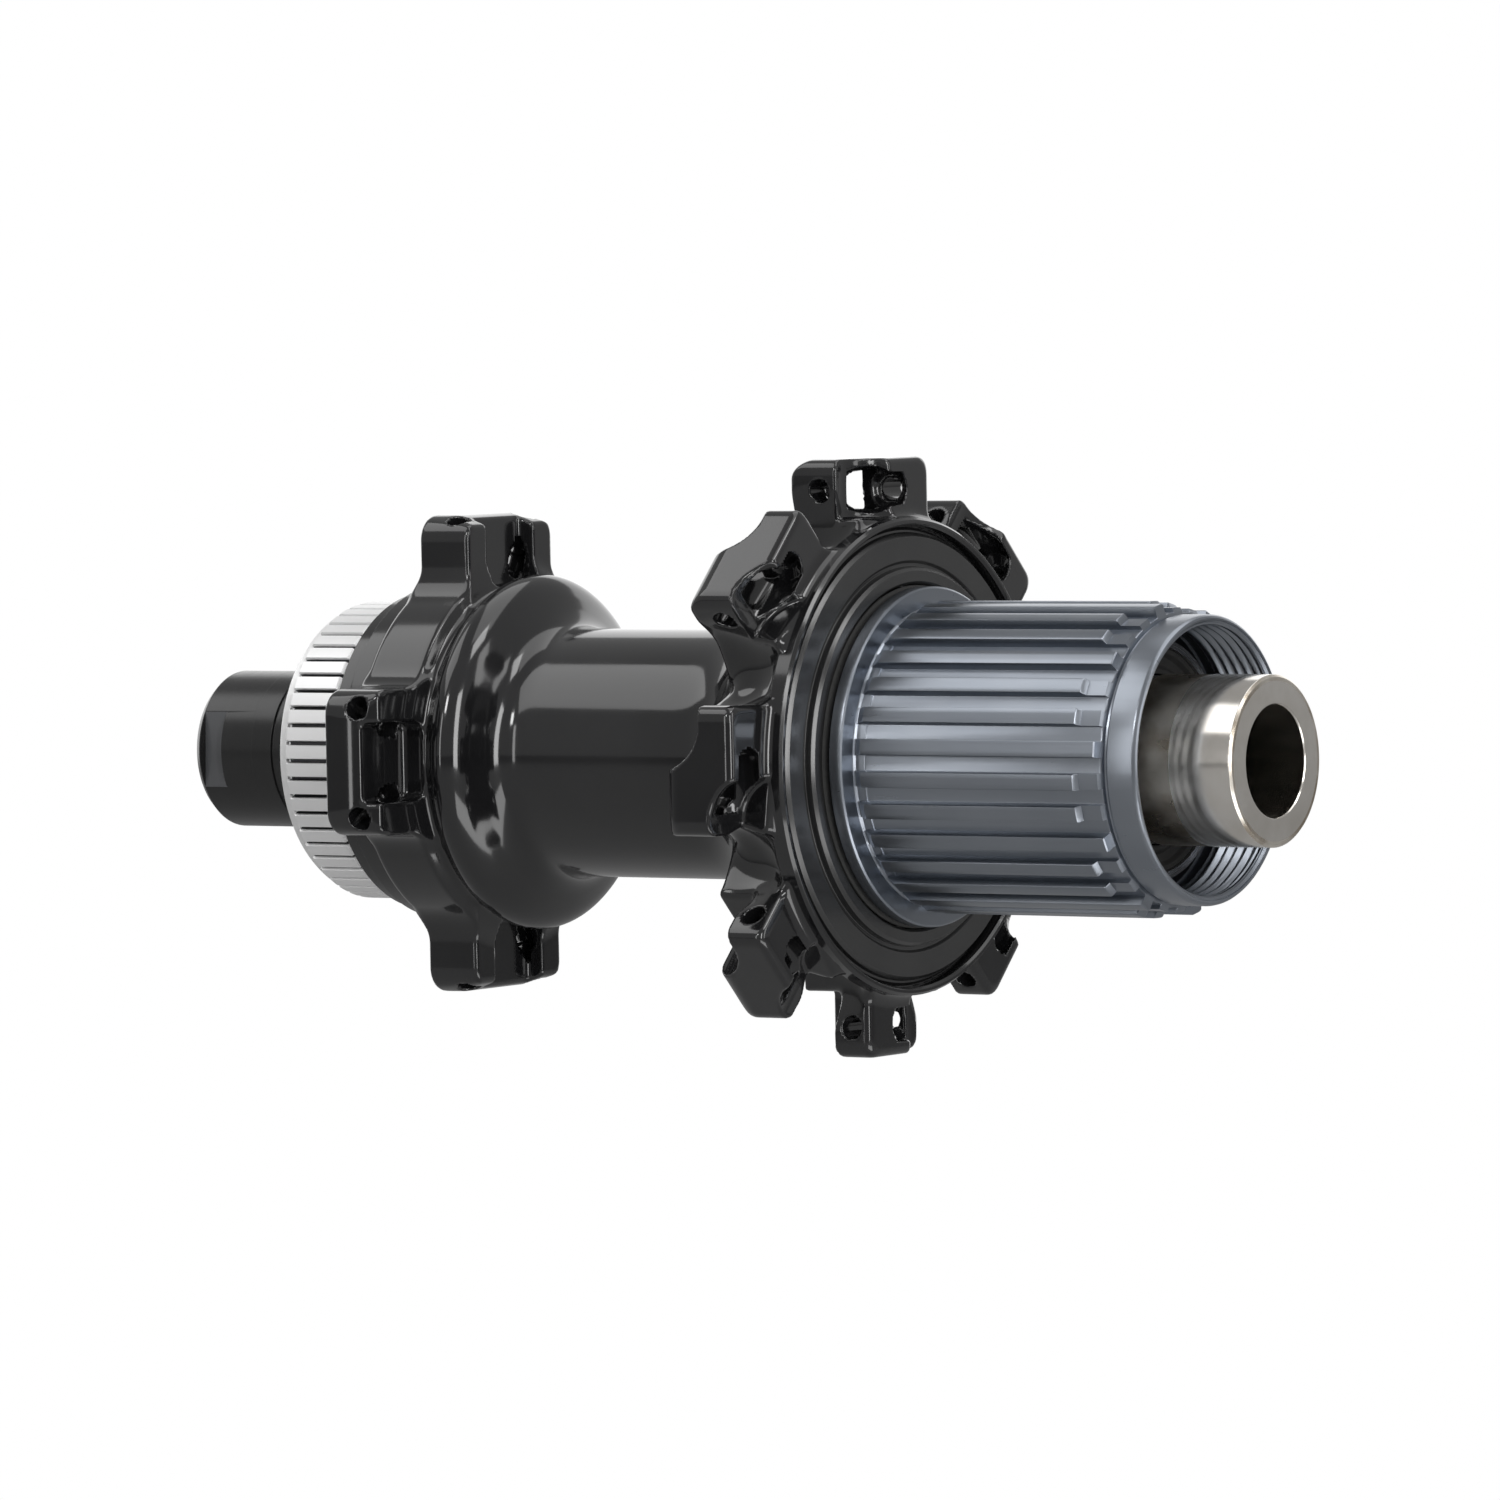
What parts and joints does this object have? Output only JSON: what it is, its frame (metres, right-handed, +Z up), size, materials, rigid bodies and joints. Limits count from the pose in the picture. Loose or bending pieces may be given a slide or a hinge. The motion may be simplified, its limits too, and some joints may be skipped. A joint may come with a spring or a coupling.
{
  "type": "rear hub",
  "caption": "Rear bicycle hub with a lugged straight-pull shell, splined freehub, rotor spline and hollow axle; shell and freehub turn on ball bearings.",
  "frame": {"origin": "on the axle, midway between the two end faces", "axes": "+Y along the axle towards the brake rotor side, +Z up, +X the way the bicycle goes; the freehub is at -Y"},
  "size_m": [0.0674, 0.142, 0.0674],
  "materials": {
    "shell_black": "gloss black anodised",
    "bearing_steel": "ground",
    "ball_steel": "polished",
    "spring_steel": "satin",
    "axle_steel": "polished",
    "freehub_alloy": "satin anodised",
    "seal_rubber": "matte",
    "sleeve_plastic": "matte",
    "cover_black": "satin",
    "cap_black": "satin black anodised"
  },
  "bodies": {
    "axle": {"axle_tube": "axle_steel", "left_cone": "bearing_steel", "left_spacer": "cap_black", "left_end_cap": "cap_black", "right_cone": "bearing_steel"},
    "shell": {"hub_shell": "shell_black", "left_bearing_cup": "bearing_steel", "left_dust_seal": "seal_rubber", "grease_sleeve": "sleeve_plastic", "freehub_inner_body": "bearing_steel", "freehub_fixing_bolt": "bearing_steel", "right_bearing_cup": "bearing_steel", "right_cone_seal": "seal_rubber", "right_cup_seal": "seal_rubber", "drive_dust_cover": "cover_black", "pawl_spring": "spring_steel"},
    "freehub": {"freehub_body": "freehub_alloy", "ratchet_ring": "bearing_steel", "freehub_rear_seal": "seal_rubber"},
    "left_balls": {"left_hub_balls": "ball_steel", "left_ball_retainer": "spring_steel"},
    "right_balls": {"right_hub_balls": "ball_steel", "right_ball_retainer": "spring_steel"},
    "outer_row": {"freehub_outer_balls": "ball_steel"},
    "inner_row": {"freehub_inner_balls": "ball_steel"},
    "upper_pawl": {"pawl_upper": "bearing_steel"},
    "lower_pawl": {"pawl_lower": "bearing_steel"}
  },
  "joints": [
    {"name": "shell_spin", "type": "hinge", "parent": "axle", "child": "shell", "pos_m": [0, 0, 0], "axis": [0, 1, 0], "continuous": true},
    {"name": "freehub_spin", "type": "hinge", "parent": "shell", "child": "freehub", "pos_m": [0, -0.037, 0], "axis": [0, 1, 0], "continuous": true},
    {"name": "left_ball_orbit", "type": "hinge", "parent": "axle", "child": "left_balls", "pos_m": [0, 0.0425, 0], "axis": [0, 1, 0], "continuous": true},
    {"name": "right_ball_orbit", "type": "hinge", "parent": "axle", "child": "right_balls", "pos_m": [0, -0.051, 0], "axis": [0, 1, 0], "continuous": true},
    {"name": "outer_row_orbit", "type": "hinge", "parent": "shell", "child": "outer_row", "pos_m": [0, -0.0465, 0], "axis": [0, 1, 0], "continuous": true},
    {"name": "inner_row_orbit", "type": "hinge", "parent": "shell", "child": "inner_row", "pos_m": [0, -0.0252, 0], "axis": [0, 1, 0], "continuous": true},
    {"name": "upper_pawl_swing", "type": "hinge", "parent": "shell", "child": "upper_pawl", "pos_m": [0, -0.037, 0.0123], "axis": [0, 1, 0], "range_deg": [0, 12]},
    {"name": "lower_pawl_swing", "type": "hinge", "parent": "shell", "child": "lower_pawl", "pos_m": [0, -0.037, -0.0123], "axis": [0, 1, 0], "range_deg": [0, 12]}
  ],
  "couplings": [
    {"joint": "left_ball_orbit", "follows": "shell_spin", "ratio": 0.577},
    {"joint": "right_ball_orbit", "follows": "shell_spin", "ratio": 0.577},
    {"joint": "outer_row_orbit", "follows": "freehub_spin", "ratio": 0.549},
    {"joint": "inner_row_orbit", "follows": "freehub_spin", "ratio": 0.542}
  ]
}
